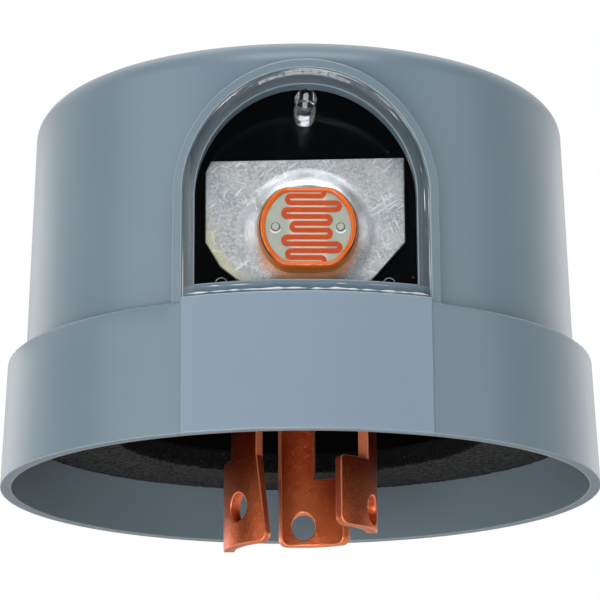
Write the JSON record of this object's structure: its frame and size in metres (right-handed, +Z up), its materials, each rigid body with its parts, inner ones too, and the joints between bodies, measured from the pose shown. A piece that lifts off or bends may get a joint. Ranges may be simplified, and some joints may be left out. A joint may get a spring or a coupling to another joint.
{
  "type": "photocell switch",
  "caption": "Round twist-lock photocell switch for an outdoor lamp, with a clear arched window, a light cell, a foam gasket and hooked copper blades below.",
  "frame": {"origin": "centre of the gasket's sealing face, on the axis of the ring of blades", "axes": "+Z up through the dome, -Y out through the middle of the window, +X to the right seen from the window"},
  "size_m": [0.084, 0.0841, 0.0626],
  "materials": {
    "cover_plastic": "matt moulded polypropylene, blue grey",
    "window_plastic": "clear polished",
    "gasket_foam": "matt foam with open cells",
    "base_plastic": "black, grained",
    "blade_copper": "copper coloured, rolled and worn",
    "rivet_brass": "plain",
    "panel_plastic": "black, polished",
    "plate_aluminium": "bare, scratched",
    "screw_steel": "zinc plated",
    "cell_epoxy": "clear orange epoxy",
    "cell_ceramic": "bare ceramic with a thin metal film",
    "cell_film": "sintered brick-red film",
    "tinned_wire": "tinned",
    "bushing_ceramic": "bare",
    "splice_sleeve": "plain",
    "wire_copper": "drawn copper",
    "terminal_brass": "pressed",
    "bimetal": "rolled",
    "contact_silver": "bright",
    "heater_body": "glazed",
    "clip_steel": "spring steel",
    "arrester_epoxy": "dipped"
  },
  "bodies": {
    "root": {"cover": "cover_plastic", "window": "window_plastic", "gasket": "gasket_foam", "base_plate": "base_plastic", "neutral_blade": "blade_copper", "line_blade": "blade_copper", "load_blade": "blade_copper", "blade_rivets": "rivet_brass", "barrier_panel": "panel_plastic", "sensor_plate": "plate_aluminium", "sensor_plate_screw": "screw_steel", "cell_coat": "cell_epoxy", "cell_disc": "cell_ceramic", "cell_track": "cell_film", "cell_leads": "tinned_wire", "lead_bushings": "bushing_ceramic", "lead_splices": "splice_sleeve", "line_wire": "wire_copper", "line_terminal": "terminal_brass", "load_terminal": "terminal_brass", "neutral_terminal": "terminal_brass", "bimetal_arm": "bimetal", "arm_rivets": "rivet_brass", "moving_contact": "contact_silver", "fixed_contact": "contact_silver", "heater": "heater_body", "heater_clip": "clip_steel", "heater_leads": "tinned_wire", "surge_arrester": "arrester_epoxy", "arrester_leads": "tinned_wire"}
  },
  "joints": []
}
